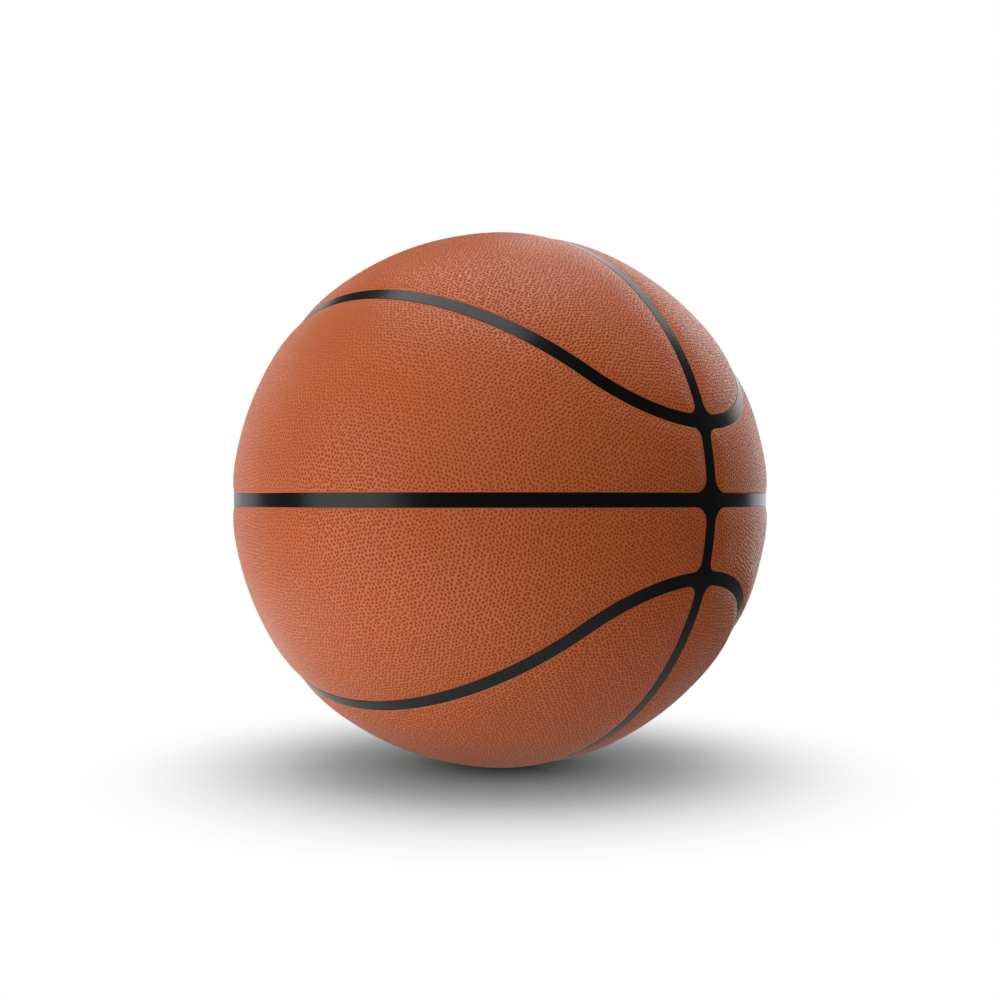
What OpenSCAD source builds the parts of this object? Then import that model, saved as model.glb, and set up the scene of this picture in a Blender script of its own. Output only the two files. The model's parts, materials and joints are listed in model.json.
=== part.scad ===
// A basketball of eight leather panels on a wound rubber carcass, in millimetres.
// The origin is the centre of the ball and +Z is up. The equator seam lies in the XY plane and the upright seam in
// the XZ plane. Two curved seams meet the upright seam near +X and near -X, above and below the equator, so that each
// quarter of the ball holds a side panel beside the equator and a cap panel beside the pole.

/* [Ball] */
// Distance round the leather face
circumference = 749; // [690:1:780]
// Width of the black channel between two panels
channel_w = 5.6; // [3:0.1:8]
// Depth of the channel below the leather face
channel_depth = 0.45; // [0.4:0.05:1.2]
// Radius of a panel's corners beside a curved seam, seen from outside
corner_r = 4.5; // [2.4:0.1:6]
// Radius of the side panels' corners where the equator and the upright seam cross
crossing_r = 6.5; // [2.4:0.1:8]
// Width of the rolled edge of a panel
edge_roll_w = 0.8; // [0.5:0.05:1.35]
// Depth of the rolled edge of a panel
edge_roll_depth = 0.4; // [0.3:0.05:0.9]

/* [Seams] */
// Latitude in degrees at which a curved seam meets the upright seam
seam_meet = 15.1; // [11:0.1:20]
// Slope in degrees of a curved seam's plane, on the side of the ball
seam_slope = 45; // [40:0.5:50]

/* [Wall] */
// Thickness of the leather
leather_t = 1.3; // [1:0.05:2]
// Thickness of the cloth laminate under the leather
backing_t = 0.8; // [0.5:0.05:1.5]
// Thickness of the rubber carcass under a panel
carcass_t = 0.8; // [0.5:0.05:1.5]
// Thickness of the thread winding
winding_t = 0.6; // [0.3:0.05:1.2]
// Thickness of the bladder
bladder_t = 0.8; // [0.5:0.05:1.5]
// Gap that a film of glue fills, between layers and round each panel
glue_gap = 0.05; // [0.02:0.01:0.1]

/* [Valve] */
// Diameter of the valve core's head, which shows in the leather
core_head_d = 6; // [5:0.1:7]
// Depth of the core's head below the leather face
core_recess = 0.6; // [0.2:0.1:1]
// Height of the core's head
core_head_h = 2.6; // [2:0.1:4]
// Diameter of the core's shank
core_shank_d = 4.4; // [4:0.1:4.8]
// Diameter of the bulb that holds the core in its boot
core_bulb_d = 5.6; // [5:0.1:6]
// Height of the bulb
core_bulb_h = 4; // [3:0.1:6]
// Length of the core from its head to its tip
core_l = 15; // [13:0.5:18]
// Clearance of the core in its boot, on the radius
core_clearance = 0.05; // [0.03:0.01:0.08]
// Radius of the hole for an inflation needle
needle_hole_r = 1.05; // [1:0.01:1.2]
// Length of the needle hole below its dimple
needle_hole_l = 9; // [7:0.1:10]
// Diameter of the dimple that leads the needle in
dimple_d = 3.4; // [2.8:0.1:4]
// Depth of the dimple
dimple_h = 0.5; // [0.3:0.1:1]
// Diameter of the boot's stem
boot_stem_d = 10; // [9:0.1:12]
// Thickness of the boot's floor under the core
boot_floor_t = 1.5; // [1:0.1:3]
// Diameter of the boot's flange inside the bladder
boot_flange_d = 26; // [20:1:34]
// Thickness of the boot's flange
boot_flange_t = 1; // [0.8:0.1:2]
// Gap round the core's head in the leather's punched hole
punch_gap = 0.3; // [0.1:0.05:0.6]

/* [Hidden] */
PLACES = ["front_upper", "front_lower", "back_upper", "back_lower"];
// The lower side panel at the back carries the valve
VALVE_PLACE = "back_lower";
$fn = 144;

// Farthest that a flat facet on a panel's outline may lie inside its true arc
facet_sag = 0.08;
// Overrun of a cut past the face that it opens
cut = 0.5;

// Radii of the layers, from the leather face inwards
ball_r = circumference / (2 * PI);
leather_in_r = ball_r - leather_t;
backing_r = leather_in_r - glue_gap;
backing_in_r = backing_r - backing_t;
carcass_r = backing_in_r - glue_gap;
carcass_in_r = carcass_r - carcass_t;
winding_r = carcass_in_r - glue_gap;
winding_in_r = winding_r - winding_t;
bladder_r = winding_in_r - glue_gap;
bladder_in_r = bladder_r - bladder_t;
channel_r = ball_r - channel_depth;
// A panel's cutting cone ends well outside the ball, so that its flat outer facets clear the leather
cone_reach_share = 1.6;

// The circle that bends a curved seam towards the upright one: the latitude of its centre and its angular radius.
// It passes through the meeting point and touches the plane of the seam's side part.
bend_lat = atan(sin(seam_meet) / (cos(seam_meet) - cos(seam_slope)));
bend_radius = bend_lat - seam_meet;

// Angle at the ball's centre of a length along the leather face
function angle_of(length) = length / ball_r * 180 / PI;

half_channel = angle_of(channel_w / 2);
corner = angle_of(corner_r);
crossing = angle_of(crossing_r);

// Axes of the seams round the upper panels at the front
UP = [0, 0, 1];
FRONT = [0, -1, 0];
SLOPE = [0, sin(seam_slope), cos(seam_slope)];
function bend_axis(side) = [side * cos(bend_lat), 0, sin(bend_lat)];

function unit(v) = v / norm(v);

// An edge is a circle on the unit sphere, written [axis, rise]. Its panel lies on the side of the axis, and the edge
// stands rise degrees above the plane through the centre that is square to the axis. A positive turn about the axis
// has the panel on its left.

// Mix of two axes that lies on both edges, if the edges touch there
function both(e, f, s, t) =
    let (g = e[0] * f[0])
    ((s - g * t) * e[0] + (t - g * s) * f[0]) / (1 - g * g);

// Point where two edges touch
function touch(e, f) = unit(both(e, f, sin(e[1]), sin(f[1])));

// Edge that rounds the corner from edge e to edge f, a circle of angular radius r that touches both from inside
function fillet(e, f, r) =
    let (
        base = both(e, f, sin(e[1] + r), sin(f[1] + r)),
        across = cross(e[0], f[0]),
        rest = sqrt(1 - base * base) / norm(across)
    )
    [base + rest * across, 90 - r];

// Points along an edge, drawn in by inset degrees, from one touching point up to the next
function arc(edge, start, end, inset) =
    let (
        axis = edge[0],
        u = start - axis * sin(edge[1]),
        v = cross(axis, u),
        w = end - axis * sin(edge[1]),
        turn = (atan2(w * v, w * u) + 360) % 360,
        step = 2 * acos(1 - facet_sag / (ball_r * norm(u))),
        n = ceil(turn / step),
        rise = edge[1] + inset
    )
    [for (i = [0:n - 1])
        let (a = turn * i / n)
        axis * sin(rise) + (unit(u) * cos(a) + unit(v) * sin(a)) * cos(rise)];

// Directions along a closed ring of edges that touch, drawn in by inset degrees
function outline(edges, inset) =
    let (
        last = len(edges) - 1,
        ends = [for (i = [0:last]) touch(edges[i], edges[i == last ? 0 : i + 1])]
    )
    [for (i = [0:last]) each arc(edges[i], ends[i == 0 ? last : i - 1], ends[i], inset)];

// Edges of the side panel in the upper front quarter, from the equator round
function side_edges() =
    let (
        equator = [UP, half_channel],
        upright = [FRONT, half_channel],
        bend_right = [-bend_axis(1), bend_radius + half_channel - 90],
        slope = [-SLOPE, half_channel],
        bend_left = [-bend_axis(-1), bend_radius + half_channel - 90]
    )
    [
        equator, fillet(equator, upright, crossing), upright, fillet(upright, bend_right, corner), bend_right,
        slope, bend_left, fillet(bend_left, upright, corner), upright, fillet(upright, equator, crossing)
    ];

// Edges of the cap panel in the upper front quarter, from the upright seam round
function cap_edges() =
    let (
        upright = [FRONT, half_channel],
        bend_left = [bend_axis(-1), 90 - bend_radius + half_channel],
        slope = [SLOPE, half_channel],
        bend_right = [bend_axis(1), 90 - bend_radius + half_channel]
    )
    [
        upright, fillet(upright, bend_left, corner), bend_left,
        slope, bend_right, fillet(bend_right, upright, corner)
    ];

// Directions from which a cone's outer facets fan out, one in each half of its panel, for the side where x is positive
function side_hub() = unit([1, -1, tan(seam_meet) / 2]);
function cap_hub() = unit([cos(bend_lat), -sin(bend_radius) / 2, sin(bend_lat)]);

// Closed cone from the centre through rings of directions, each at its own radius, with outer facets round two hubs
module cone(rings, radii, hub) {
    n = len(rings[0]);
    top = len(rings) - 1;
    reach = ball_r * cone_reach_share;
    hubs = [hub * reach, [-hub[0], hub[1], hub[2]] * reach];
    points = concat([[0, 0, 0]], hubs, [for (k = [0:top]) each rings[k] * radii[k]]);
    function at(k, i) = len(hubs) + 1 + k * n + i % n;
    function hub_of(i) = rings[top][i % n][0] > 0 ? 1 : 2;
    foot = [for (i = [0:n - 1]) [0, at(0, i), at(0, i + 1)]];
    walls = [for (k = [0:1:top - 1], i = [0:n - 1]) each [
        [at(k, i), at(k + 1, i), at(k + 1, i + 1)],
        [at(k, i), at(k + 1, i + 1), at(k, i + 1)]
    ]];
    roof = [for (i = [0:n - 1]) [hub_of(i), at(top, i + 1), at(top, i)]];
    ridge = [for (i = [0:n - 1]) if (hub_of(i) != hub_of(i + 1)) [hub_of(i), hub_of(i + 1), at(top, i + 1)]];
    polyhedron(points = points, faces = concat(foot, walls, roof, ridge));
}

// Cone with plain walls, widened on all sides by a margin along the leather face
module plain_cone(edges, hub, margin) {
    cone([outline(edges, -angle_of(margin))], [ball_r * cone_reach_share], hub);
}

// Cone whose walls draw in near the leather face along a quarter ellipse, in two facets that meet half way round it.
// The second facet runs on outside the ball as far again, so that the face cuts it cleanly.
module rolled_cone(edges, hub) {
    w = angle_of(edge_roll_w);
    half = 1 - cos(45);
    outer = outline(edges, w * (2 - half));
    cone(
        [outline(edges, 0), outline(edges, w * half), outer, outer],
        [
            ball_r - edge_roll_depth, ball_r - edge_roll_depth * half,
            ball_r + edge_roll_depth * half, ball_r * cone_reach_share
        ],
        hub
    );
}

// Hollow sphere
module shell(outer_r, inner_r) {
    difference() {
        sphere(r = outer_r);
        sphere(r = inner_r);
    }
}

// Moves a piece drawn in the upper front quarter to its place
module placed(place) {
    back = place == "back_upper" || place == "back_lower";
    lower = place == "front_lower" || place == "back_lower";
    mirror([0, back ? 1 : 0, 0])
        mirror([0, 0, lower ? 1 : 0])
            children();
}

// Turns +Z to the valve's axis, through the middle of its panel
module at_valve() {
    rotate([-(90 + seam_slope / 2), 0, 0])
        children();
}

// Round hole along the valve's axis, through every layer of the wall
module valve_hole(d) {
    foot = bladder_in_r - boot_flange_t;
    at_valve()
        translate([0, 0, foot])
            cylinder(d = d, h = ball_r + cut - foot);
}

module side_panel(place) {
    color("#b5562b")
        difference() {
            placed(place)
                intersection() {
                    shell(ball_r, leather_in_r);
                    rolled_cone(side_edges(), side_hub());
                }
            if (place == VALVE_PLACE)
                valve_hole(core_head_d + 2 * punch_gap);
        }
}

module cap_panel(place) {
    color("#b5562b")
        placed(place)
            intersection() {
                shell(ball_r, leather_in_r);
                rolled_cone(cap_edges(), cap_hub());
            }
}

module side_backing(place) {
    color("#d8cdb4")
        difference() {
            placed(place)
                intersection() {
                    shell(backing_r, backing_in_r);
                    plain_cone(side_edges(), side_hub(), 0);
                }
            if (place == VALVE_PLACE)
                valve_hole(boot_stem_d + 2 * glue_gap);
        }
}

module cap_backing(place) {
    color("#d8cdb4")
        placed(place)
            intersection() {
                shell(backing_r, backing_in_r);
                plain_cone(cap_edges(), cap_hub(), 0);
            }
}

// Space that a panel and its backing fill, with the glue round them
module pocket(edges, hub) {
    difference() {
        plain_cone(edges, hub, glue_gap);
        sphere(r = carcass_r);
    }
}

module carcass() {
    color("#1c1b1a")
        difference() {
            sphere(r = channel_r);
            sphere(r = carcass_in_r);
            for (place = PLACES)
                placed(place) {
                    pocket(side_edges(), side_hub());
                    pocket(cap_edges(), cap_hub());
                }
            valve_hole(boot_stem_d + 2 * glue_gap);
        }
}

module winding() {
    color("#d9d6cc")
        difference() {
            shell(winding_r, winding_in_r);
            valve_hole(boot_stem_d + 2 * glue_gap);
        }
}

module bladder() {
    color("#26272b")
        difference() {
            shell(bladder_r, bladder_in_r);
            valve_hole(boot_stem_d + 2 * glue_gap);
        }
}

// Places along the valve's axis, as distances from the ball's centre
core_top = ball_r - core_recess;
core_tip = core_top - core_l;
head_foot = core_top - core_head_h;
bulb_top = core_tip + core_bulb_h;
stem_top_r = leather_in_r - glue_gap;

// Half outline of the core's body from its tip to its head, widened by a gap on every side but the top
function core_outline(gap, top) =
    let (
        shank = core_shank_d / 2 + gap,
        bulb = core_bulb_d / 2 + gap,
        head = core_head_d / 2 + gap,
        taper = (core_bulb_d - core_shank_d) / 2
    )
    [
        [0, core_tip - gap],
        [shank, core_tip - gap],
        [bulb, core_tip + taper],
        [bulb, bulb_top - taper],
        [shank, bulb_top],
        [shank, head_foot - gap],
        [head, head_foot - gap],
        [head, top],
        [0, top]
    ];

module valve_core() {
    color("#232221")
        at_valve()
            difference() {
                rotate_extrude()
                    polygon(core_outline(0, core_top));
                translate([0, 0, core_top - dimple_h - needle_hole_l])
                    cylinder(r = needle_hole_r, h = needle_hole_l + dimple_h + cut);
                translate([0, 0, core_top - dimple_h])
                    cylinder(d1 = 2 * needle_hole_r, d2 = dimple_d, h = dimple_h);
                translate([0, 0, core_top])
                    cylinder(d = dimple_d, h = cut);
            }
}

module valve_boot() {
    flange_r = bladder_in_r - glue_gap;
    stem_foot = core_tip - core_clearance - boot_floor_t;
    color("#3a3836")
        at_valve()
            difference() {
                union() {
                    intersection() {
                        shell(flange_r, flange_r - boot_flange_t);
                        cylinder(d = boot_flange_d, h = ball_r);
                    }
                    intersection() {
                        sphere(r = stem_top_r);
                        translate([0, 0, stem_foot])
                            cylinder(d = boot_stem_d, h = ball_r - stem_foot);
                    }
                }
                rotate_extrude()
                    polygon(core_outline(core_clearance, ball_r));
            }
}

for (place = PLACES) {
    side_panel(place);
    cap_panel(place);
    side_backing(place);
    cap_backing(place);
}
carcass();
winding();
bladder();
valve_core();
valve_boot();
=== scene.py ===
# %% [markdown]
# # A leather basketball
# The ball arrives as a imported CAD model: eight leather panels, a moulded carcass whose ribs are the black channels, and
# the hidden layers under them. This lesson keeps the CAD carcass, valve and hidden layers, makes the leather panels
# again with their pebbled face, gives every piece a finish made of nodes, and lights the ball as in a small product
# studio. Lengths in the panel maths are millimetres, as leather workers would measure them. Blender gets metres.

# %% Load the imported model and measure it
import json

import bpy
import numpy as np
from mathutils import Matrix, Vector

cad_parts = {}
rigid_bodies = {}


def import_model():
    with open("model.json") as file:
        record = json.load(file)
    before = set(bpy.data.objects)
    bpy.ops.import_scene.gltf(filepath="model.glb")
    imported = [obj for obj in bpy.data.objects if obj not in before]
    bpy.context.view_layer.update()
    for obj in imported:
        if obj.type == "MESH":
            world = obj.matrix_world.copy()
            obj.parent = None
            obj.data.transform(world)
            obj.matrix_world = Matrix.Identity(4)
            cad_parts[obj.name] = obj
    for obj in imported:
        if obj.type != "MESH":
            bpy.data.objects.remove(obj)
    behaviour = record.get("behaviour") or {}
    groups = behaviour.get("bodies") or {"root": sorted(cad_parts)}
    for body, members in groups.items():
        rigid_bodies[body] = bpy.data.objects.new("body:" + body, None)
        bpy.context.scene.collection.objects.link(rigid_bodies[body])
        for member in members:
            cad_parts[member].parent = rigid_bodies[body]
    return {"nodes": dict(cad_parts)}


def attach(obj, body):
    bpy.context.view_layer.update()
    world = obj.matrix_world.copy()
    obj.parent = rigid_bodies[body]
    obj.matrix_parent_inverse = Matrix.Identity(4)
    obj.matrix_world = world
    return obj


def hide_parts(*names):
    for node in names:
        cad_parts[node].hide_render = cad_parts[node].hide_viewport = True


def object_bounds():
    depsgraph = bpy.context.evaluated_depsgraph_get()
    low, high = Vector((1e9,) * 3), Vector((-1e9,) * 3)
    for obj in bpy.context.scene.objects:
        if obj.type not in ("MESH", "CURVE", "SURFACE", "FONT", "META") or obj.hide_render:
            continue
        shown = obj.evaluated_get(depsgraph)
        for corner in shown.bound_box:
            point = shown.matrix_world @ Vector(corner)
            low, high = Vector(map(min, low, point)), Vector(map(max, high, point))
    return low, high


for left_over in list(bpy.data.objects):
    bpy.data.objects.remove(left_over)
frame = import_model()
bpy.context.view_layer.update()
cad_box = [list(corner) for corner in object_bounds()]
print("CAD nodes:", len(frame["nodes"]), "box:", np.round(cad_box, 4).tolist())

# %% [markdown]
# ## The camera
# The photograph was taken level with the ball's centre, 45.5 degrees round from its front, at 5.23 times the ball's
# radius. Those numbers came from the outline's size and from how the seams bend, so the camera is placed by them and
# not by eye. The focal length is counted in the photograph's pixels, which is what can be read from it.

# %% Camera
MM = 0.001
BALL_R = 119.2071
SEEN_FROM = np.radians(45.5)
CAMERA_AWAY = 5.23 * BALL_R * MM
PHOTO_PIXELS = 1000
FOCAL_PIXELS = 1372.0
SENSOR = 36.0

toward_camera = np.array([np.sin(SEEN_FROM), -np.cos(SEEN_FROM), 0.0])
photo_right = np.array([np.cos(SEEN_FROM), np.sin(SEEN_FROM), 0.0])

camera = bpy.data.objects.new("camera", bpy.data.cameras.new("camera"))
camera.data.sensor_width = SENSOR
camera.data.lens = FOCAL_PIXELS * SENSOR / PHOTO_PIXELS
camera.data.clip_start = 0.01
camera.location = Vector(toward_camera * CAMERA_AWAY)
camera.rotation_euler = (np.pi / 2, 0, SEEN_FROM)
bpy.context.collection.objects.link(camera)
bpy.context.scene.camera = camera
print("camera at", np.round(camera.location, 4), "lens", round(camera.data.lens, 2), "mm")

# %% [markdown]
# ## The seam layout
# Two great circles cut the ball in quarters: the equator and one upright seam. In each quarter a curved seam runs from
# crossing to crossing. It is a piece of a great circle that leans 45 degrees, with a round bend at each end. The bend
# meets the upright seam squarely at a latitude of 15.1 degrees, and since it has to touch the leaning circle too, that
# latitude gives its radius.
#
# A channel is a band of even width along these lines, so a panel's outline is a chain of small circles, each given by
# an axis and by how far it rises towards that axis. The panel lies where the point's height along the axis is above
# that rise. Only the upper front quarter is worked out. The other three are its mirror images. The valve's hole is
# punched in the middle of a side panel.

# %% Sizes of the seams and the leather, in millimetres
CHANNEL_W = 5.6
LEATHER_IN_R = 117.907
CORNER_R = 4.5
CROSSING_R = 6.5
SEAM_MEET = np.radians(15.1)
SEAM_SLOPE = np.radians(45)
SIDE_MIDDLE, CAP_MIDDLE = np.radians(22.5), np.radians(67.5)
PUNCH_R = 3.3
VALVE_AXIS = np.array([0.0, -0.92388, 0.38268])

half = CHANNEL_W / 2 / BALL_R
corner = CORNER_R / BALL_R
crossing = CROSSING_R / BALL_R
bend_lat = np.arctan(np.sin(SEAM_MEET) / (np.cos(SEAM_MEET) - np.cos(SEAM_SLOPE)))
bend_r = bend_lat - SEAM_MEET
print("bend centre at latitude", round(np.degrees(bend_lat), 2), "radius", round(np.degrees(bend_r), 2), "degrees")

# %% Edges of the two panel shapes
UP = np.array([0.0, 0.0, 1.0])
FRONT = np.array([0.0, -1.0, 0.0])
SLOPE = np.array([0.0, np.sin(SEAM_SLOPE), np.cos(SEAM_SLOPE)])


def bend_axis(side):
    """Axis of the seam's bend on the right (side 1) or the left (side -1) of the quarter."""
    return np.array([side * np.cos(bend_lat), 0.0, np.sin(bend_lat)])


def both(edge, other, lift=0.0):
    """Point of the two axes' plane whose heights along them are the sines of the two rises plus lift."""
    (n, a), (m, b) = edge, other
    g = n @ m
    s, t = np.sin(a + lift), np.sin(b + lift)
    return ((s - g * t) * n + (t - g * s) * m) / (1 - g * g)


def fillet(edge, other, radius):
    """Small circle of an angular radius that touches both edges, on the panel's side of them."""
    base = both(edge, other, radius)
    across = np.cross(edge[0], other[0])
    centre = base + np.sqrt(1 - base @ base) * across / np.linalg.norm(across)
    return centre, np.pi / 2 - radius


def rounded(edges, radii):
    """The chain of edges with a fillet after each edge whose number has a radius in radii."""
    chain = []
    for i, edge in enumerate(edges):
        chain.append(edge)
        if i in radii:
            chain.append(fillet(edge, edges[(i + 1) % len(edges)], radii[i]))
    return chain


outside_bend = bend_r + half - np.pi / 2
inside_bend = np.pi / 2 - bend_r + half
side_edges = rounded(
    [
        (UP, half),
        (FRONT, half),
        (-bend_axis(1), outside_bend),
        (-SLOPE, half),
        (-bend_axis(-1), outside_bend),
        (FRONT, half),
    ],
    {0: crossing, 1: corner, 4: corner, 5: crossing},
)
cap_edges = rounded(
    [(FRONT, half), (bend_axis(-1), inside_bend), (SLOPE, half), (bend_axis(1), inside_bend)],
    {0: corner, 3: corner},
)
print("edges of a side panel:", len(side_edges), "and of a cap panel:", len(cap_edges))

# %% [markdown]
# A chain of edges becomes a table of arcs. Each arc has its axis, its rise, two directions that span its circle, how
# far it turns, and where it starts along the outline. With the table, two questions are answered for any number of
# points at once: how far is a point from the outline, and where is the point a given length along it.

# %% Outlines as tables of arcs


def unit(v):
    """The vector divided by its length."""
    return v / np.linalg.norm(v)


def arcs(edges, loop=0, start_at=0.0):
    """Rows (axis, rise, out, ahead, turn, length, start, loop): neighbouring circles touch at one point, and that
    point is where one arc ends and the next starts."""
    rows = []
    for i, (axis, rise) in enumerate(edges):
        if len(edges) == 1:
            first, turn = unit(np.cross(axis, UP)), 2 * np.pi
        else:
            first = unit(both(edges[i - 1], edges[i]))
            last = unit(both(edges[i], edges[(i + 1) % len(edges)]))
        out = unit(first - axis * (axis @ first))
        ahead = np.cross(axis, out)
        if len(edges) > 1:
            turn = np.arctan2(last @ ahead, last @ out) % (2 * np.pi)
        length = turn * np.cos(rise) * BALL_R
        rows.append((axis, rise, out, ahead, turn, length, start_at, loop))
        start_at += length
    return rows


class Outline:
    """A panel's outline, and the outline of a hole in it where there is one."""

    def __init__(self, edges, hole=None):
        rows = arcs(edges)
        if hole is not None:
            rows += arcs([hole], 1, rows[-1][5] + rows[-1][6])
        columns = [np.array(c) for c in zip(*rows)]
        self.axis, self.rise, self.out, self.ahead, self.turn, self.length, self.start, self.loop = columns
        self.around = np.array([self.length[self.loop == i].sum() for i in range(self.loop.max() + 1)])

    def nearest(self, p):
        """Distance in mm from the outline, above zero inside the panel, and the length along it of the nearest
        point. On each circle the nearest point has the same turn, held between the arc's two ends."""
        x, y, z = p @ self.out.T, p @ self.ahead.T, p @ self.axis.T
        t = np.arctan2(y, x) % (2 * np.pi)
        t = np.where(t > self.turn, np.where(t - self.turn < 2 * np.pi - t, self.turn, 0), t)
        cosine = z * np.sin(self.rise) + (x * np.cos(t) + y * np.sin(t)) * np.cos(self.rise)
        k = cosine.argmax(1)
        row = np.arange(len(p))
        gap = np.arccos(np.clip(cosine[row, k], -1, 1)) * BALL_R
        inside = z[row, k] > np.sin(self.rise[k])
        along = self.start[k] + t[row, k] * np.cos(self.rise[k]) * BALL_R
        return np.where(inside, gap, -gap), along, self.loop[k]

    def at(self, along, inset):
        """Point of the unit sphere a length along the outline and inset mm into the panel: the same turn on a
        circle that rises by the inset."""
        k = np.searchsorted(self.start, along, side="right") - 1
        k = np.clip(k, 0, len(self.start) - 1)
        t = (along - self.start[k]) / (np.cos(self.rise[k]) * BALL_R)
        rise = self.rise[k] + inset / BALL_R
        spoke = self.out[k] * np.cos(t)[:, None] + self.ahead[k] * np.sin(t)[:, None]
        return self.axis[k] * np.sin(rise)[:, None] + spoke * np.cos(rise)[:, None]


side_outline = Outline(side_edges)
valve_outline = Outline(side_edges, hole=(-VALVE_AXIS, PUNCH_R / BALL_R - np.pi / 2))
cap_outline = Outline(cap_edges)
print("outlines:", side_outline.around.round(1), cap_outline.around.round(1), valve_outline.around.round(1), "mm")

# %% [markdown]
# ## The panel as a mesh
# A panel could be a plain grid stretched between its edges, but it is three times wider in its middle than at its
# ends, and the pebbles would be crushed. So an even grid is laid over the panel like graph paper, the squares that lie
# wholly inside are kept, and their outer corners are pulled onto a line just inside the outline. From that line, rings
# follow the outline exactly: over the rolled edge, down the wall and underneath. The underside is never seen, so a
# coarse grid closes it.

# %% Graph paper laid on the ball
PAPER_HALF_LENGTH, PAPER_HALF_WIDTH = 190, 52
UNDER_STEP, UNDER_KEEP, UNDER_LINE = 4.0, 3.2, 2.2
EVENING_PASSES = 60


def flat_frame(middle):
    """Three directions for a panel whose middle line is a great circle leaning back by the angle middle."""
    ahead = np.array([0.0, -np.cos(middle), np.sin(middle)])
    return ahead, np.array([1.0, 0.0, 0.0]), np.array([0.0, np.sin(middle), np.cos(middle)])


def flat_of(p, middle):
    """Flat coordinates of points: u is the length along the middle line, v the length up from it, both in mm."""
    ahead, across, up = flat_frame(middle)
    u = np.arctan2(p @ across, p @ ahead)
    v = np.arcsin(np.clip(p @ up, -1, 1))
    return u * BALL_R, v * BALL_R


def ball_of(u, v, middle):
    """Point of the unit sphere for flat coordinates u and v: longitude and latitude about the middle line."""
    ahead, across, up = flat_frame(middle)
    u, v = u[..., None] / BALL_R, v[..., None] / BALL_R
    return np.cos(v) * (np.cos(u) * ahead + np.sin(u) * across) + np.sin(v) * up


def laid_grid(outline, middle, step, keep, line):
    """Grid of squares kept where all four corners are keep mm inside. Returns the points, the squares, the border's
    directed edges with the panel on their left, and each border point's length along the outline. The border points
    are moved to the line that runs line mm inside the outline, evenly spread: in each pass a point goes half way to
    the middle of its two neighbours, which is a quarter of the difference between the two gaps."""
    u, v = np.meshgrid(
        np.arange(-PAPER_HALF_LENGTH, PAPER_HALF_LENGTH, step), np.arange(-PAPER_HALF_WIDTH, PAPER_HALF_WIDTH, step)
    )
    p = ball_of(u, v, middle)
    gap, along, loop = outline.nearest(p.reshape(-1, 3))
    number = np.arange(u.size).reshape(u.shape)
    good = gap.reshape(u.shape) > keep
    square = good[:-1, :-1] & good[:-1, 1:] & good[1:, 1:] & good[1:, :-1]
    corners = np.stack([number[:-1, :-1], number[:-1, 1:], number[1:, 1:], number[1:, :-1]], -1)
    beside = np.pad(square, 1)
    kept_beside = [beside[:-2, 1:-1], beside[1:-1, 2:], beside[2:, 1:-1], beside[1:-1, :-2]]
    border = np.concatenate([corners[square & ~kept_beside[i]][:, [i, (i + 1) % 4]] for i in range(4)])
    squares = corners[square]
    used = np.unique(squares)
    renumber = np.full(u.size, -1)
    renumber[used] = np.arange(len(used))
    squares, border = renumber[squares], renumber[border]
    p, along, loop = p.reshape(-1, 3)[used], along[used], loop[used]

    after = np.zeros(len(used), int)
    before = np.zeros(len(used), int)
    after[border[:, 0]], before[border[:, 1]] = border[:, 1], border[:, 0]
    rim = border[:, 0]
    around = outline.around[loop]

    def ahead_by(a, b):
        """Length along the outline from a to b, the short way round."""
        return (along[b] - along[a] + around[a] / 2) % around[a] - around[a] / 2

    first = np.where(loop == 1, outline.around[0], 0)
    for _ in range(EVENING_PASSES):
        shift = (ahead_by(rim, after[rim]) - ahead_by(before[rim], rim)) / 4
        along[rim] = (along[rim] - first[rim] + shift) % around[rim] + first[rim]
    p[rim] = outline.at(along[rim], line)
    return p, squares, border, along, loop


coarse_grid = laid_grid(valve_outline, SIDE_MIDDLE, UNDER_STEP, UNDER_KEEP, UNDER_LINE)
print("the underside's grid has", len(coarse_grid[0]), "points and", len(coarse_grid[1]), "squares")

# %% [markdown]
# Two loops of different spacing, the wall's foot and the coarse underside, are sewn together like a zip. Both are
# sorted by their length along the outline. Every fine edge goes to the nearest coarse point, and wherever that coarse
# point changes, one more triangle fills the gap.

# %% Zip between two loops


def zipped(fine, fine_along, coarse, coarse_along, around):
    """Triangles between a fine loop and a coarse one. The numbers in fine and coarse are mesh points."""
    order, coarse_order = np.argsort(fine_along), np.argsort(coarse_along)
    fine, f = fine[order], fine_along[order]
    coarse, c = coarse[coarse_order], coarse_along[coarse_order]
    middle = f + ((np.roll(f, -1) - f) % around) / 2
    halfway = c + ((np.roll(c, -1) - c) % around) / 2
    owner = np.searchsorted(halfway, middle) % len(c)
    owner = np.where(middle > halfway[-1], 0, owner)
    to_coarse = np.stack([fine, np.roll(fine, -1), coarse[owner]], 1)
    change = owner != np.roll(owner, 1)
    to_fine = np.stack([coarse[np.roll(owner, 1)[change]], fine[change], coarse[owner[change]]], 1)
    return np.concatenate([to_coarse, to_fine])


ten, four = np.arange(10), np.arange(4)
print("a zip of 10 and 4 points has", len(zipped(ten, ten / 10, four, four / 4, 1.0)), "triangles")

# %% [markdown]
# The leather is glued over its padded backing, so a panel isn't a plain piece of the sphere. It is highest some 12 mm
# from the channel, by about a quarter of a millimetre, and comes back to the sphere 30 mm in. Towards the channel it is
# pressed down by half a millimetre, and its last half millimetre is rolled over a little more. That shapes the ball's
# outline and bends the gloss beside the channels, so it is modelled, as a table of heights, and not only drawn.

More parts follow.
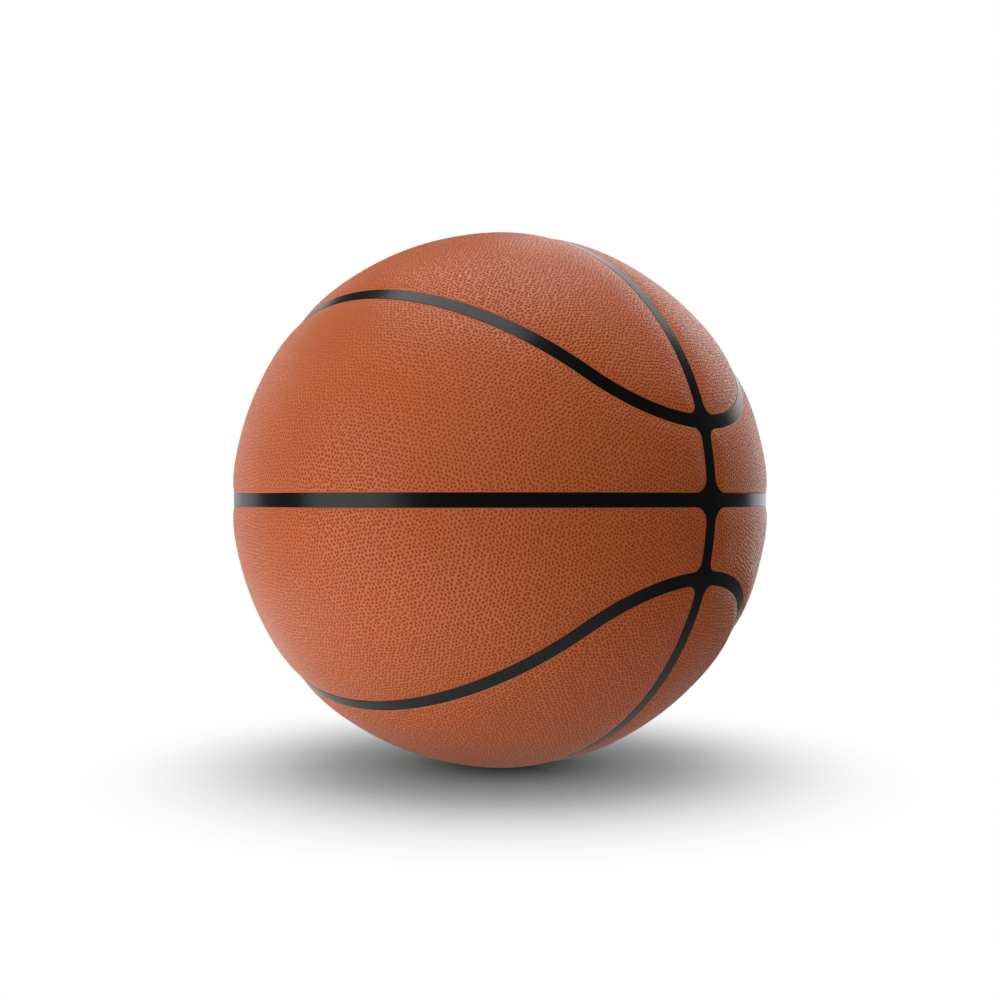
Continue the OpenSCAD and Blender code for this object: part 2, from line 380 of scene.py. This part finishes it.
# %% Rolled edge, wall and underside
GRID_STEP = 0.515
EDGE_LINE, CLEAR_OF_LINE = 1.5, 0.25
ROLL_W, ROLL_DEPTH = 0.5, 0.15
RING_SHARE = np.array([1.0, 0.78, 0.55, 0.34, 0.17, 0.06, 0.0])
PILLOW = np.array(
    [
        (-3.0, -1.10), (0.0, -0.50), (0.8, -0.46), (1.7, -0.34), (2.6, -0.17), (3.5, -0.05), (4.3, 0.03), (6.1, 0.14),
        (7.6, 0.20), (10.0, 0.25), (12.0, 0.26), (15.0, 0.23), (18.0, 0.17), (22.0, 0.08), (26.0, 0.02), (30.0, 0.0),
        (36.0, 0.0),
    ]
)
PILLOW_FROM, PILLOW_TO, PILLOW_STEP = -2.0, 34.0, 0.1
AVERAGED_OVER = 1.6
OFF_FACE = -1.0


def edge_drop(gap):
    """How far the leather drops gap mm from its edge: a quarter of an ellipse that ends upright at the edge."""
    x = np.clip(1 - gap / ROLL_W, 0, 1)
    return ROLL_DEPTH * (1 - np.sqrt(1 - x * x))


def pillow(seam_gap):
    """Height over the ball's sphere, seam_gap mm from the channel: straight lines between the table's heights,
    averaged over a short length so that no crease shows."""
    fine = np.arange(PILLOW_FROM, PILLOW_TO, PILLOW_STEP)
    shifts = np.linspace(-AVERAGED_OVER / 2, AVERAGED_OVER / 2, 9)
    height = np.mean([np.interp(fine + shift, *PILLOW.T) for shift in shifts], axis=0)
    return np.interp(seam_gap, fine, height)


def panel_shape(outline, middle, seams_only):
    """Points, faces, gaps to the nearest edge and gaps to the channels for one panel, as one closed shell on the unit
    sphere. The wall's foot and the underside have the gap OFF_FACE. The radius is left to the caller, because the
    pebbles change it."""
    p, squares, border, along, loop = laid_grid(outline, middle, GRID_STEP, EDGE_LINE + CLEAR_OF_LINE, EDGE_LINE)
    rim = border[:, 0]
    place = np.full(len(p), -1)
    place[rim] = np.arange(len(rim))
    following = place[border[:, 1]]
    gap = outline.nearest(p)[0]
    gap[rim] = EDGE_LINE
    insets = ROLL_W * RING_SHARE
    roll = [outline.at(along[rim], inset) for inset in insets]
    rings = [rim] + [len(p) + i * len(rim) + np.arange(len(rim)) for i in range(len(insets) + 1)]
    bands = [
        np.stack([outer, outer[following], inner[following], inner], 1) for inner, outer in zip(rings, rings[1:])
    ]
    under, under_squares, under_border, under_along, under_loop = laid_grid(
        outline, middle, UNDER_STEP, UNDER_KEEP, UNDER_LINE
    )
    first_under = len(p) + (len(insets) + 1) * len(rim)
    under_rim = under_border[:, 0]
    seams = [
        zipped(
            rings[-1][loop[rim] == i],
            along[rim][loop[rim] == i],
            (under_rim + first_under)[under_loop[under_rim] == i],
            under_along[under_rim][under_loop[under_rim] == i],
            outline.around[i],
        )[:, ::-1]
        for i in range(len(outline.around))
    ]
    points = np.concatenate([p, *roll, roll[-1], under])
    gaps = np.concatenate([gap, np.repeat([*insets, OFF_FACE], len(rim)), np.full(len(under), OFF_FACE)])
    quads = np.concatenate([squares, *bands, under_squares[:, ::-1] + first_under])
    return points, quads, np.concatenate(seams), gaps, seams_only.nearest(points)[0]


side_shape = panel_shape(side_outline, SIDE_MIDDLE, side_outline)
valve_shape = panel_shape(valve_outline, SIDE_MIDDLE, side_outline)
cap_shape = panel_shape(cap_outline, CAP_MIDDLE, cap_outline)
for title, shape in (("side", side_shape), ("side with valve hole", valve_shape), ("cap", cap_shape)):
    print(title, "panel:", len(shape[0]), "points,", 2 * len(shape[1]) + len(shape[2]), "triangles")

# %% [markdown]
# ## Pebbles
# The face of the leather is embossed with small pits, about 1.7 mm apart, in a raised net. The pits are painted darker
# than the net, as painted shade in the hollows. Blender's own Voronoi node scatters its cells over squares, which
# leaves clumps, while the real pits sit almost like a honeycomb. So a honeycomb with every centre pushed a little aside
# is put together from simple nodes. The pattern has to be the same in the mesh and in the colour, or the shading would
# slide off the pits. One function therefore draws it, and it is used twice: in the leather's material, and in a
# short-lived
# Geometry Nodes tree that reads the pattern at the panel's points.

# %% Small helpers for nodes


def add(tree, kind, **settings):
    """One node. inputs gives values or sockets by name or number, and the other words set the node's properties."""
    node = tree.nodes.new(kind)
    inputs = settings.pop("inputs", {})
    for name, value in settings.items():
        setattr(node, name, value)
    for name, value in inputs.items():
        if isinstance(value, bpy.types.NodeSocket):
            tree.links.new(value, node.inputs[name])
        else:
            node.inputs[name].default_value = value
    return node


def math(tree, operation, *values):
    """One Math node's output."""
    return add(tree, "ShaderNodeMath", operation=operation, inputs=dict(enumerate(values))).outputs[0]


def vector_math(tree, operation, *values, result="Vector"):
    """One Vector Math node's vector, or its Value where the operation gives a number."""
    return add(tree, "ShaderNodeVectorMath", operation=operation, inputs=dict(enumerate(values))).outputs[result]


def ramp(tree, value, low, high, at_low=0.0, at_high=1.0):
    """Value carried from low..high to at_low..at_high, eased at both ends."""
    given = {"Value": value, 1: low, 2: high, 3: at_low, 4: at_high}
    return add(tree, "ShaderNodeMapRange", interpolation_type="SMOOTHSTEP", inputs=given).outputs[0]


# %% Nodes of the pebble pattern
PEBBLE_PITCH = 1.74
PUSHED_ASIDE = 0.46
SIZE_CHANGE = 0.25
BEND_OF_ROWS, BEND_SCALE = 3.0, 0.05
ROW = np.sqrt(3) / 2
NEIGHBOURS = ((0, 0), (1, 0), (0, 1), (1, 1), (1, -1), (-1, 1), (2, 0), (0, 2))
FAR_AWAY = 9.0
PIT_SPAN, RISE_SPAN, NET_SPAN = (0.06, 0.36), (0.08, 0.42), (0.0, 0.16)


def pebble_nodes(tree, flat):
    """Pit (1 in the middle of a pit), rise (0 there, 1 on the ridges) and net (1 on the lines halfway between pits)
    from flat coordinates in mm. A point is written in steps along two directions 60 degrees apart. Whole steps name the
    nearest honeycomb places, each place has a random push and size, and the smallest and second smallest distance to
    the pushed places are kept."""
    bend = {"Vector": flat, "Scale": BEND_SCALE, "Detail": 1.0}
    bend = add(tree, "ShaderNodeTexNoise", noise_dimensions="2D", inputs=bend).outputs["Color"]
    flat = vector_math(tree, "MULTIPLY_ADD", bend, (BEND_OF_ROWS, BEND_OF_ROWS, 0), flat)
    point = vector_math(tree, "SCALE", flat)
    point.node.inputs["Scale"].default_value = 1 / PEBBLE_PITCH
    parts = add(tree, "ShaderNodeSeparateXYZ", inputs={0: point}).outputs
    skew = math(tree, "MULTIPLY_ADD", parts[1], -0.5 / ROW, parts[0])
    steps = add(tree, "ShaderNodeCombineXYZ", inputs={0: skew, 1: math(tree, "DIVIDE", parts[1], ROW)}).outputs[0]
    place = vector_math(tree, "FLOOR", steps)
    whole = add(tree, "ShaderNodeSeparateXYZ", inputs={0: place}).outputs
    corner_x = math(tree, "MULTIPLY_ADD", whole[1], 0.5, whole[0])
    at_corner = add(tree, "ShaderNodeCombineXYZ", inputs={0: corner_x, 1: math(tree, "MULTIPLY", whole[1], ROW)})
    from_point = vector_math(tree, "SUBTRACT", at_corner.outputs[0], point)
    nearest, second = FAR_AWAY, FAR_AWAY
    for i, j in NEIGHBOURS:
        name = vector_math(tree, "ADD", place, (i, j, 0))
        push = add(tree, "ShaderNodeTexWhiteNoise", noise_dimensions="2D", inputs={"Vector": name})
        offset = ((i + j / 2) - PUSHED_ASIDE / 2, j * ROW - PUSHED_ASIDE / 2, 0)
        centre = vector_math(tree, "ADD", from_point, offset)
        away = vector_math(tree, "MULTIPLY_ADD", push.outputs["Color"], (PUSHED_ASIDE, PUSHED_ASIDE, 0), centre)
        gap = vector_math(tree, "LENGTH", away, result="Value")
        size = math(tree, "MULTIPLY_ADD", push.outputs["Value"], SIZE_CHANGE, 1 - SIZE_CHANGE / 2)
        gap = math(tree, "MULTIPLY", gap, size)
        second = math(tree, "MINIMUM", second, math(tree, "MAXIMUM", nearest, gap))
        nearest = math(tree, "MINIMUM", nearest, gap)
    pit = ramp(tree, nearest, *PIT_SPAN, 1.0, 0.0)
    rise = ramp(tree, nearest, *RISE_SPAN)
    net = ramp(tree, math(tree, "SUBTRACT", second, nearest), *NET_SPAN, 1.0, 0.0)
    return pit, rise, net


# %% Read the pattern at points


def pattern_at(u, v):
    """The rise of the pebbles at flat points, read through Geometry Nodes."""
    mesh = bpy.data.meshes.new("pattern_points")
    mesh.vertices.add(len(u))
    mesh.vertices.foreach_set("co", np.stack([u, v, np.zeros_like(u)], 1).ravel())
    points = bpy.data.objects.new("pattern_points", mesh)
    bpy.context.collection.objects.link(points)
    tree = bpy.data.node_groups.new("read_pattern", "GeometryNodeTree")
    tree.interface.new_socket("Geometry", in_out="INPUT", socket_type="NodeSocketGeometry")
    tree.interface.new_socket("Geometry", in_out="OUTPUT", socket_type="NodeSocketGeometry")
    given, result = add(tree, "NodeGroupInput"), add(tree, "NodeGroupOutput")
    rise = pebble_nodes(tree, add(tree, "GeometryNodeInputPosition").outputs[0])[1]
    store = add(tree, "GeometryNodeStoreNamedAttribute", inputs={0: given.outputs[0], "Name": "rise", "Value": rise})
    tree.links.new(store.outputs[0], result.inputs[0])
    points.modifiers.new("read", "NODES").node_group = tree
    bpy.context.view_layer.update()
    seen = points.evaluated_get(bpy.context.evaluated_depsgraph_get()).data
    rises = np.zeros(len(u), np.float32)
    seen.attributes["rise"].data.foreach_get("value", rises)
    bpy.data.objects.remove(points)
    bpy.data.meshes.remove(mesh)
    bpy.data.node_groups.remove(tree)
    return rises.astype(float)


ruler = np.linspace(0, 60, 400)
sample_u, sample_v = np.meshgrid(ruler, ruler)
sample = pattern_at(sample_u.ravel(), sample_v.ravel())
print("share of the face that lies lower than half way down:", round(float((sample < 0.5).mean()), 3))

# %% [markdown]
# ## The eight panels
# Each panel takes its shape from the quarter that was worked out and is turned or mirrored into place. A mirror image
# is inside out, so its faces are read backwards. Every panel is cut from another part of the hide, so its pebbles start
# at their own place in the pattern. The pebbles fade out between 0.7 and 0.2 mm from the edge, where the leather is
# skived and rolled.

# %% Panels
PIT_DEPTH = 0.07
FADE_START, FADE_END = 0.20, 0.70
FROM_EDGE_MAX = 3
NEXT_CUT = np.array([60.0, 37.0])


def mesh_piece(name, points, quads, triangles):
    """Object with a smoothly shaded mesh made from arrays of points and faces."""
    mesh = bpy.data.meshes.new(name)
    mesh.vertices.add(len(points))
    mesh.vertices.foreach_set("co", points.astype(np.float32).ravel())
    corners = np.concatenate([quads.ravel(), triangles.ravel()])
    sizes = np.concatenate([np.full(len(quads), 4), np.full(len(triangles), 3)])
    mesh.loops.add(len(corners))
    mesh.loops.foreach_set("vertex_index", corners.astype(np.int32))
    mesh.polygons.add(len(sizes))
    mesh.polygons.foreach_set("loop_start", (np.cumsum(sizes) - sizes).astype(np.int32))
    mesh.polygons.foreach_set("use_smooth", np.full(len(sizes), True))
    mesh.update(calc_edges=True)
    piece = bpy.data.objects.new(name, mesh)
    bpy.context.collection.objects.link(piece)
    return piece


def leather_panel(name, shape, middle, front, upper, cut_at):
    """One panel: radius = ball radius, plus the pillow's height, less the drop of the rolled edge, less the depth of
    the pits, which fade towards the edge."""
    p, quads, triangles, gap, seam_gap = shape
    u, v = flat_of(p, middle)
    u, v = u + cut_at[0], v + cut_at[1]
    fade = np.clip((gap - FADE_START) / (FADE_END - FADE_START), 0, 1)
    fade = fade * fade * (3 - 2 * fade)
    radius = BALL_R + pillow(seam_gap) - edge_drop(gap) - fade * PIT_DEPTH * (1 - pattern_at(u, v))
    radius = np.where(gap < 0, LEATHER_IN_R, radius)
    mirror = np.array([1, 1 if front else -1, 1 if upper else -1])
    if front != upper:
        quads, triangles = quads[:, ::-1], triangles[:, ::-1]
    piece = mesh_piece(name + "_leather", p * radius[:, None] * mirror * MM, quads, triangles)
    corner_points = np.concatenate([quads.ravel(), triangles.ravel()])
    layer = piece.data.uv_layers.new(name="flat")
    layer.uv.foreach_set("vector", np.stack([u, v], 1)[corner_points].astype(np.float32).ravel())
    store = piece.data.attributes.new("from_edge", "FLOAT", "POINT")
    store.data.foreach_set("value", np.clip(gap, 0, FROM_EDGE_MAX).astype(np.float32))
    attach(piece, "root")
    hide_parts(name)
    return piece


panels = []
for front in (True, False):
    for upper in (True, False):
        where = ("front" if front else "back") + ("_upper" if upper else "_lower")
        side = side_shape if front or upper else valve_shape
        for kind, shape, middle in (("side_panel_", side, SIDE_MIDDLE), ("cap_panel_", cap_shape, CAP_MIDDLE)):
            panels.append(leather_panel(kind + where, shape, middle, front, upper, NEXT_CUT * len(panels)))
print("leather panels:", [piece.name for piece in panels])

# %% [markdown]
# ## The leather's finish
# The hide is dyed orange brown, with broad clouds from the hide itself. The pits are painted dark red brown and their
# gloss is dimmed, as painted shade in the hollows. The raised net between the pits, the fine wrinkles and the rolled
# rim are painted lighter, as painted highlights. At the very edge a dark colour is painted as shade in the gap beside
# the rib, and draws a thin line along the channel. The tanner's top coat gives a soft, wide gloss.
#
# The photograph's shadow is a plain grey, without orange from the ball. So diffuse rays don't meet the panels: those
# that leave the floor end on the black carcass, close under the leather.

# %% Helpers for finishes


def finish(name):
    """Empty material; returns it, its tree, its Principled shader and the object coordinates for its patterns."""
    material = bpy.data.materials.new(name)
    material.use_nodes = True
    tree = material.node_tree
    place = add(tree, "ShaderNodeTexCoord").outputs["Object"]
    return material, tree, tree.nodes["Principled BSDF"], place


def noise(tree, where, scale, detail):
    """Noise at the coordinates where, between 0 and 1."""
    return add(tree, "ShaderNodeTexNoise", inputs={"Vector": where, "Scale": scale, "Detail": detail}).outputs["Fac"]


def colour_mix(tree, share, one, other):
    """Colour between one and other by share. A Mix node's colour sockets are its inputs 6 and 7 and its output 2."""
    return add(tree, "ShaderNodeMix", data_type="RGBA", inputs={0: share, 6: one, 7: other}).outputs[2]


def colour_by(tree, shader, share, one, other):
    """The shader's colour lies between one and other by share."""
    tree.links.new(colour_mix(tree, share, one, other), shader.inputs["Base Color"])


def roughness_by(tree, shader, value, smooth, rough):
    """The shader's roughness goes from smooth to rough over the middle of a noise's values."""
    tree.links.new(ramp(tree, value, 0.3, 0.7, smooth, rough), shader.inputs["Roughness"])


def emboss(tree, shader, height, depth, strength=1.0):
    """Fine relief that is too small for the mesh: height 1 stands depth metres above height 0."""
    bump = add(tree, "ShaderNodeBump", inputs={"Strength": strength, "Distance": depth, "Height": height})
    tree.links.new(bump.outputs[0], shader.inputs["Normal"])


# %% Leather material
HIDE, HIDE_CLOUD = (0.835, 0.128, 0.0082, 1), (0.785, 0.120, 0.0076, 1)
# Painted highlight: a lighter colour laid on the raised net, the wrinkles and the rolled rim.
HIGHLIGHT_TINT = (1.0, 0.28, 0.045, 1)
# Painted shade: a darker colour and a dimmed gloss for the pits, standing in for shade in the hollows.
PIT_SHADE, PIT_GLOSS_SHADE = (0.58, 0.070, 0.0034, 1), (0.35, 0.35, 0.35, 1)
# Painted shade: a dark colour for the very edge and the wall, in the gap beside the channel's rib.
EDGE_SHADE = (0.020, 0.009, 0.005, 1)
WHITE = (1, 1, 1, 1)
# The painted edge shade ends at the first gap in mm, and the painted rim highlight fades out by the second.
EDGE_SHADE_END, RIM_END = 0.14, 0.7
# Strength of the painted highlight on the net, the wrinkles and the rim.
NET_HIGHLIGHT, WRINKLE_HIGHLIGHT, RIM_HIGHLIGHT = 0.9, 0.5, 0.55
WRINKLE_W = 0.05
GRAIN_HEIGHT, WRINKLE_HEIGHT = 0.10, 0.25

leather, tree, shader, place = finish("pebbled_leather")
flat = add(tree, "ShaderNodeUVMap", uv_map="flat").outputs[0]
from_edge = add(tree, "ShaderNodeAttribute", attribute_name="from_edge").outputs["Fac"]
pebbled = ramp(tree, from_edge, FADE_START, FADE_END)
pit, rise, net = (math(tree, "MULTIPLY", value, pebbled) for value in pebble_nodes(tree, flat))
clouds = noise(tree, place, 26.0, 4.0)
grain = noise(tree, place, 1400.0, 3.0)
folds = {"Vector": flat, "Scale": 1.2, "Detail": 1.0, "Distortion": 0.6}
folds = add(tree, "ShaderNodeTexNoise", noise_dimensions="2D", inputs=folds).outputs["Fac"]
from_fold = math(tree, "ABSOLUTE", math(tree, "SUBTRACT", folds, 0.5))
wrinkle = ramp(tree, from_fold, 0.0, WRINKLE_W, 1.0, 0.0)
# Painted highlights: the net, the wrinkles and the rolled rim are painted lighter.
painted_highlights = [
    math(tree, "MULTIPLY", net, NET_HIGHLIGHT),
    math(tree, "MULTIPLY", wrinkle, WRINKLE_HIGHLIGHT),
    ramp(tree, from_edge, EDGE_SHADE_END, RIM_END, RIM_HIGHLIGHT, 0.0),
]
base = colour_mix(tree, ramp(tree, clouds, 0.35, 0.65), HIDE, HIDE_CLOUD)
for share in painted_highlights:
    base = colour_mix(tree, share, base, HIGHLIGHT_TINT)
# Painted shade: the pits are painted darker.
base = colour_mix(tree, pit, base, PIT_SHADE)
# Painted shade: a dark line at the very edge, along the channel.
colour_by(tree, shader, ramp(tree, from_edge, 0.0, EDGE_SHADE_END, 1.0, 0.0), base, EDGE_SHADE)
roughness_by(tree, shader, clouds, 0.29, 0.33)
# Painted shade: the gloss in the pits is dimmed.
tree.links.new(colour_mix(tree, pit, WHITE, PIT_GLOSS_SHADE), shader.inputs["Specular Tint"])
relief = math(tree, "MULTIPLY_ADD", grain, GRAIN_HEIGHT, rise)
emboss(tree, shader, math(tree, "MULTIPLY_ADD", wrinkle, WRINKLE_HEIGHT, relief), depth=0.0003)
shader.inputs["Specular IOR Level"].default_value = 0.82
for piece in panels:
    piece.data.materials.append(leather)
    piece.visible_diffuse = False
print("leather nodes:", len(tree.nodes))

# %% [markdown]
# ## The channels
# The ribs of the carcass stand up between the panels as smooth black rubber, a little below the leather. The CAD
# carcass already has that shape, so it stays, with a semi-gloss rubber: nearly black, with a fine moulding grain that
# softens the reflections.

# %% Rubber of the carcass


def dress(names, material):
    """Put a material into every slot of the named CAD nodes."""
    for name in names:
        for slot in frame["nodes"][name].material_slots:
            slot.material = material


rubber, tree, shader, place = finish("satin_rib_rubber")
haze = noise(tree, place, 60.0, 3.0)
colour_by(tree, shader, haze, (0.0028, 0.0028, 0.0028, 1), (0.0040, 0.0039, 0.0038, 1))
roughness_by(tree, shader, haze, 0.23, 0.27)
emboss(tree, shader, noise(tree, place, 2500.0, 2.0), depth=0.000004, strength=0.3)
shader.inputs["Specular IOR Level"].default_value = 0.47
dress(["carcass"], rubber)
print("rubber nodes:", len(tree.nodes))

# %% [markdown]
# ## The valve and the hidden layers
# Only the valve shows, as a dark plug in its punched hole. The boot, the bladder, the thread winding and the cloth
# under the panels are hidden, but a ball can be opened, so each has a finish of its own: plain rubber for plug and
# boot, talc on the butyl bladder, wrapped threads, and a woven cloth made of two crossed waves.

# %% Valve and hidden materials
core, tree, shader, place = finish("valve_plug_rubber")
dust = noise(tree, place, 900.0, 4.0)
colour_by(tree, shader, dust, (0.012, 0.012, 0.012, 1), (0.03, 0.028, 0.026, 1))
roughness_by(tree, shader, dust, 0.45, 0.6)
dress(["valve_core"], core)

boot, tree, shader, place = finish("bonded_seat_rubber")
colour_by(tree, shader, noise(tree, place, 300.0, 4.0), (0.02, 0.02, 0.02, 1), (0.045, 0.043, 0.04, 1))
shader.inputs["Roughness"].default_value = 0.6
dress(["valve_boot"], boot)

butyl, tree, shader, place = finish("talced_butyl")
talc = noise(tree, place, 40.0, 5.0)
colour_by(tree, shader, talc, (0.015, 0.015, 0.016, 1), (0.05, 0.05, 0.048, 1))
roughness_by(tree, shader, talc, 0.4, 0.65)
dress(["bladder"], butyl)

nylon, tree, shader, place = finish("wound_nylon")
turned = add(tree, "ShaderNodeMapping", inputs={"Vector": place, "Rotation": (0.6, 0.4, 0.9)}).outputs[0]
wraps = add(tree, "ShaderNodeTexWave", inputs={"Vector": turned, "Scale": 500.0, "Distortion": 3.0}).outputs["Fac"]
colour_by(tree, shader, wraps, (0.35, 0.33, 0.28, 1), (0.75, 0.72, 0.64, 1))
shader.inputs["Roughness"].default_value = 0.5
emboss(tree, shader, wraps, depth=0.0002)
dress(["winding"], nylon)

cloth, tree, shader, place = finish("woven_backing")
warp, weft = (
    add(tree, "ShaderNodeTexWave", bands_direction=way, inputs={"Vector": place, "Scale": 700.0}).outputs["Fac"]
    for way in "XZ"
)
weave = math(tree, "MULTIPLY", warp, weft)
colour_by(tree, shader, weave, (0.30, 0.28, 0.24, 1), (0.62, 0.58, 0.50, 1))
shader.inputs["Roughness"].default_value = 0.85
emboss(tree, shader, weave, depth=0.0002)
dress([name for name in frame["nodes"] if "backing" in name], cloth)
print("materials:", [m.name for m in bpy.data.materials])

# %% [markdown]
# ## The floor
# The photograph has a white ground with a soft grey shadow, and that ground is also a lamp, since it throws light up at
# the ball. One lit floor couldn't be made to match both, so the white disc does them apart.
#
# The camera sees a shadow near the ball: a grey card under the lamps, plus a glow as strong as the share of open sky
# above each spot. Between 7 and 19 cm from the middle it turns into the background's white.
#
# All other rays see a plain glow. On the open table it is strong at the left and weak at the right. In the ball's own
# shade, whose strength at a distance of r ball radii is (1 + r squared) to the power of -1.5, it is the other way
# round. Both were fitted to the light on the ball's lower half.

# %% Floor
FLOOR_Z = cad_box[0][2]
FLOOR_R, FLOOR_RINGS, FLOOR_SPOKES = 0.3, 8, 64
CARD_GREY = (0.2, 0.2, 0.2, 1)
SKY_GLOW, SKY_REACH = 0.68, 2.0
WHITE_FROM, WHITE_AT = 0.07, 0.19
LEFT_END, RIGHT_END = -0.25, 0.25
TABLE_GLOW = (1.20, 0.07)
SHADE_GLOW = (0.0, 0.39)


def floor_disc(radius, rings, spokes):
    """Flat disc: rings of points whose radius grows from the middle point, closed there by triangles."""
    r = np.linspace(0, radius, rings + 1)[1:]
    turn = np.linspace(0, 2 * np.pi, spokes, endpoint=False)
    points = np.stack([np.outer(r, np.cos(turn)), np.outer(r, np.sin(turn)), np.full((rings, spokes), FLOOR_Z)], -1)
    i, j = np.meshgrid(np.arange(rings - 1), np.arange(spokes), indexing="ij")
    k = (j + 1) % spokes
    quads = np.stack([i * spokes + j, (i + 1) * spokes + j, (i + 1) * spokes + k, i * spokes + k], -1).reshape(-1, 4)
    middle = rings * spokes
    fan = np.stack([np.full(spokes, middle), np.arange(spokes), (np.arange(spokes) + 1) % spokes], 1)
    return np.concatenate([points.reshape(-1, 3), [[0, 0, FLOOR_Z]]]), quads, fan


floor = mesh_piece("floor", *floor_disc(FLOOR_R, FLOOR_RINGS, FLOOR_SPOKES))
ground, tree, shader, place = finish("white_floor")
tree.nodes.remove(shader)
away = vector_math(tree, "LENGTH", vector_math(tree, "MULTIPLY", place, (1, 1, 0)), result="Value")
across = vector_math(tree, "DOT_PRODUCT", place, tuple(photo_right), result="Value")
spread = math(tree, "DIVIDE", away, BALL_R * MM)
shaded = math(tree, "POWER", math(tree, "MULTIPLY_ADD", spread, spread, 1.0), -1.5)
on_table = ramp(tree, across, LEFT_END, RIGHT_END, *TABLE_GLOW)
in_shade = ramp(tree, across, LEFT_END, RIGHT_END, *SHADE_GLOW)
glow = math(tree, "MULTIPLY", math(tree, "SUBTRACT", 1.0, shaded), on_table)
glow = math(tree, "MULTIPLY_ADD", shaded, in_shade, glow)
card = add(tree, "ShaderNodeBsdfDiffuse", inputs={"Color": CARD_GREY})
open_sky = add(tree, "ShaderNodeAmbientOcclusion", samples=16, inputs={"Distance": SKY_REACH}).outputs["AO"]
dome = add(tree, "ShaderNodeEmission", inputs={"Strength": math(tree, "MULTIPLY", open_sky, SKY_GLOW)})
lit = add(tree, "ShaderNodeAddShader", inputs={0: card.outputs[0], 1: dome.outputs[0]})
white = add(tree, "ShaderNodeEmission", inputs={"Color": WHITE, "Strength": 1.0})
table = add(tree, "ShaderNodeEmission", inputs={"Color": WHITE, "Strength": glow})
to_white = ramp(tree, away, WHITE_FROM, WHITE_AT)
seen = add(tree, "ShaderNodeMixShader", inputs={0: to_white, 1: lit.outputs[0], 2: white.outputs[0]})
camera_ray = add(tree, "ShaderNodeLightPath").outputs["Is Camera Ray"]
either = add(tree, "ShaderNodeMixShader", inputs={0: camera_ray, 1: table.outputs[0], 2: seen.outputs[0]})
tree.links.new(either.outputs[0], tree.nodes["Material Output"].inputs["Surface"])
floor.data.materials.append(ground)
print("floor at", round(FLOOR_Z, 5), "m with", len(floor.data.vertices), "points")

# %% [markdown]
# ## Room and lamps
# The room is white to the camera, gives a soft fill from all sides, and is nearly dark in reflections, because the
# photograph's channels mirror hardly anything but the lamps.
#
# The lamps are soft boxes. Where they stand was read from the reflections in the black channels and from the gloss on
# the leather: a large one at the left, one overhead, and two behind the ball that draw the pale rims, the right one
# raised by 22 degrees. The two at the back would cast shadows towards the camera, which the photograph doesn't have, so
# light linking keeps them off the floor.

# %% World and lamps
ROOM_MIRRORED, ROOM_FILL = (0.065, 0.065, 0.065, 1), (0.30, 0.30, 0.30, 1)
FLOOR_LAMPS = ("left_box", "top_box")

world = bpy.data.worlds.new("studio")
bpy.context.scene.world = world
world.use_nodes = True
tree = world.node_tree
tree.nodes.clear()
path = add(tree, "ShaderNodeLightPath").outputs
fill = colour_mix(tree, path["Is Diffuse Ray"], ROOM_MIRRORED, ROOM_FILL)
back = colour_mix(tree, path["Is Camera Ray"], fill, WHITE)
sky = add(tree, "ShaderNodeBackground", inputs={"Color": back, "Strength": 1.0})
add(tree, "ShaderNodeOutputWorld", inputs={0: sky.outputs[0]})


def soft_box(name, turn, rise, away, width, height, brightness):
    """Area lamp turn degrees to the right of the camera and rise degrees up, away metres from the ball and facing it.
    Brightness is what a mirror would show of it: power over pi times its area."""
    turn, rise = np.radians(turn), np.radians(rise)
    level = toward_camera * np.cos(turn) + photo_right * np.sin(turn)
    direction = level * np.cos(rise) + UP * np.sin(rise)
    lamp = bpy.data.objects.new(name, bpy.data.lights.new(name, "AREA"))
    lamp.data.shape = "RECTANGLE"
    lamp.data.size, lamp.data.size_y = width, height
    lamp.data.energy = brightness * np.pi * width * height
    lamp.location = Vector(direction * away)
    lamp.rotation_euler = Vector(direction).to_track_quat("Z", "Y").to_euler()
    bpy.context.collection.objects.link(lamp)
    return lamp


lamps = [
    soft_box("left_box", turn=-62, rise=-4, away=1.5, width=1.15, height=2.0, brightness=1.28),
    soft_box("top_box", turn=-110, rise=82, away=1.3, width=1.2, height=1.2, brightness=1.74),
    soft_box("back_left_box", turn=-140, rise=0, away=1.4, width=1.2, height=1.6, brightness=0.71),
    soft_box("back_right_box", turn=150, rise=22, away=1.4, width=1.2, height=1.8, brightness=1.3),
]
off_the_floor = bpy.data.collections.new("off_the_floor")
off_the_floor.objects.link(floor)
off_the_floor.collection_objects[0].light_linking.link_state = "EXCLUDE"
for lamp in lamps:
    lamp.visible_camera = False
    if lamp.name not in FLOOR_LAMPS:
        lamp.light_linking.receiver_collection = off_the_floor
print("lamps:", [(lamp.name, round(lamp.data.energy, 2)) for lamp in lamps])

# %% [markdown]
# ## Finish
# The colours are shown as they are, without a film look.

# %% Finish
bpy.context.scene.view_settings.view_transform = "Standard"
bpy.context.view_layer.update()
